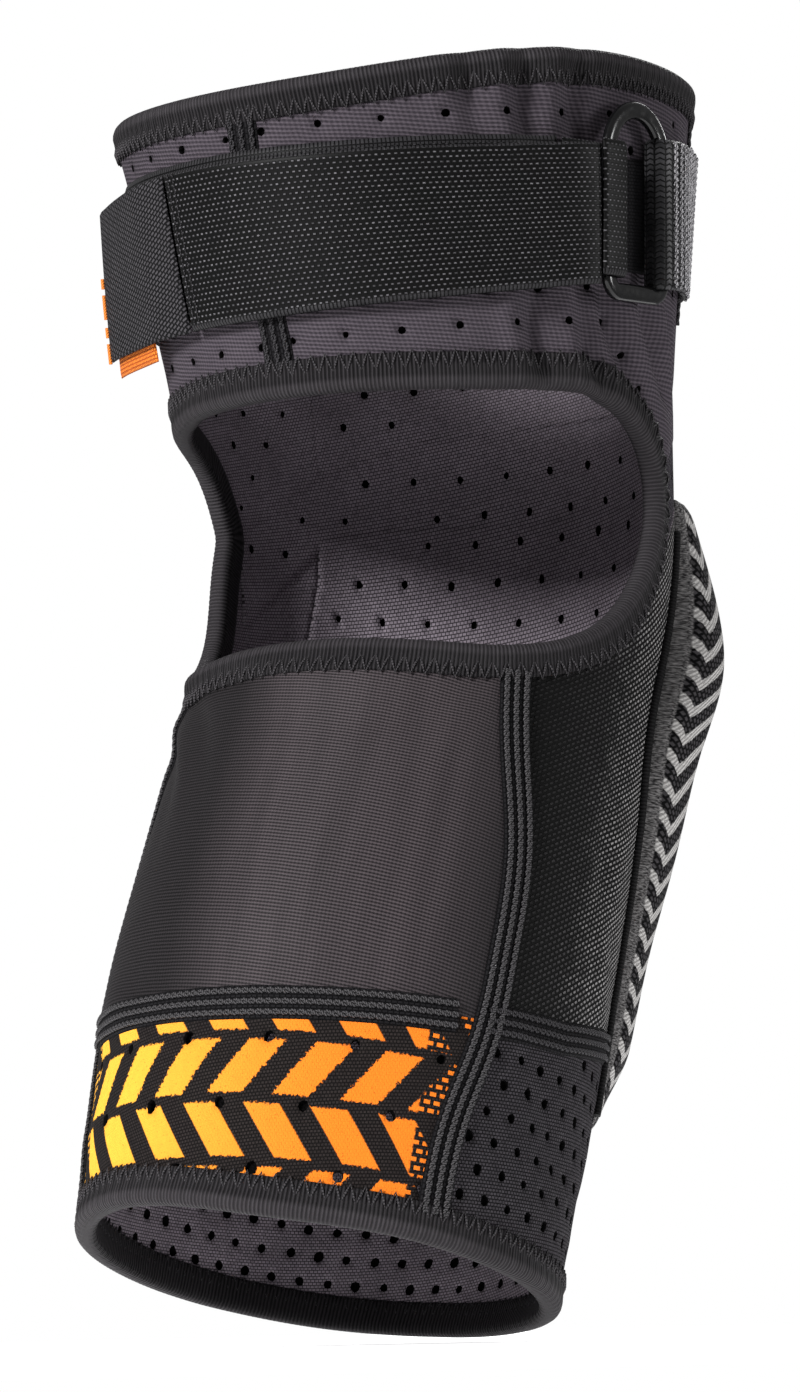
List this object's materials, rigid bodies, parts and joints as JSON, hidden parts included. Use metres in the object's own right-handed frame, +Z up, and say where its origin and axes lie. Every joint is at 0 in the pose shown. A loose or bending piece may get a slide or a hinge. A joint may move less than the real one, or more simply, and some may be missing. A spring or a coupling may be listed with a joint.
{
  "type": "knee guard",
  "caption": "Pull-on soft knee guard with a thigh strap and loop buckle, an open back, a foam knee and shin pad, and bound perforated sleeve panels.",
  "frame": {"origin": "on the knee's bending axis, on the middle plane of the leg", "axes": "+Z up the leg, -Y to the front (kneecap), +Y to the back of the knee, X across; the buckle is on the -X side"},
  "size_m": [0.1409, 0.1905, 0.312],
  "materials": {
    "perforated_neoprene": "knit-faced perforated neoprene",
    "cuff_neoprene": "knit-faced perforated neoprene, larger holes",
    "power_mesh": "smooth elastic power mesh with a sheen",
    "abrasion_mesh": "coarse woven abrasion mesh",
    "printed_knit": "perforated knit with an orange print",
    "pad_fabric": "coarse knit with a grey chevron print",
    "pad_foam": "moulded soft foam",
    "pad_trim": "knitted trim",
    "edge_tape": "ribbed elastic binding with zigzag stitch",
    "seam_thread": "flatlock seam stitching",
    "strap_elastic": "woven elastic webbing",
    "keeper_webbing": "ribbed glossy webbing",
    "buckle_plastic": "moulded black acetal, glossy",
    "hook_orange": "orange hook fastener"
  },
  "bodies": {
    "lower": {"calf_panel": "power_mesh", "calf_cuff_panel": "printed_knit", "side_mesh_left": "abrasion_mesh", "side_mesh_right": "abrasion_mesh", "pad_backing_panel": "perforated_neoprene", "shin_cuff": "cuff_neoprene", "knee_pad_insert": "pad_foam", "knee_pad_cover": "pad_fabric", "pad_trim_left": "pad_trim", "pad_trim_right": "pad_trim", "calf_seam_left": "seam_thread", "calf_seam_right": "seam_thread", "calf_cuff_seam": "seam_thread", "side_cuff_seam_left": "seam_thread", "side_cuff_seam_right": "seam_thread", "opening_binding": "edge_tape", "bottom_binding": "edge_tape"},
    "thigh": {"thigh_back_left": "perforated_neoprene", "thigh_back_right": "perforated_neoprene", "thigh_front_panel": "perforated_neoprene", "knee_flex_panel": "perforated_neoprene", "top_binding": "edge_tape", "back_centre_seam": "seam_thread", "strap_run": "strap_elastic", "buckle_keeper": "keeper_webbing"},
    "buckle": {"buckle": "buckle_plastic"},
    "strap": {"strap_outer": "strap_elastic"},
    "tail": {"strap_tail": "strap_elastic", "hook_patch": "hook_orange"}
  },
  "joints": [
    {"name": "knee_flex", "type": "hinge", "parent": "lower", "child": "thigh", "pos_m": [0, 0, 0], "axis": [-1, 0, 0], "range_deg": [-20, 40], "stiffness_Nm_per_rad": 0.6, "deforming": ["knee_flex_panel", "opening_binding"]},
    {"name": "buckle_swivel", "type": "hinge", "parent": "thigh", "child": "buckle", "pos_m": [-0.0682, 0.00727, 0.08366], "axis": [-0.0797, 0.0914, 0.9926], "range_deg": [-1.5, 1.5]},
    {"name": "strap_swing", "type": "hinge", "parent": "thigh", "child": "strap", "pos_m": [-0.06716, 0.03506, 0.07847], "axis": [-0.0767, 0.1333, 0.9881], "range_deg": [0, 70]},
    {"name": "tail_peel", "type": "hinge", "parent": "strap", "child": "tail", "pos_m": [0.02495, 0.07623, 0.07305], "axis": [0.0307, 0.2433, 0.9695], "range_deg": [0, 90]}
  ]
}
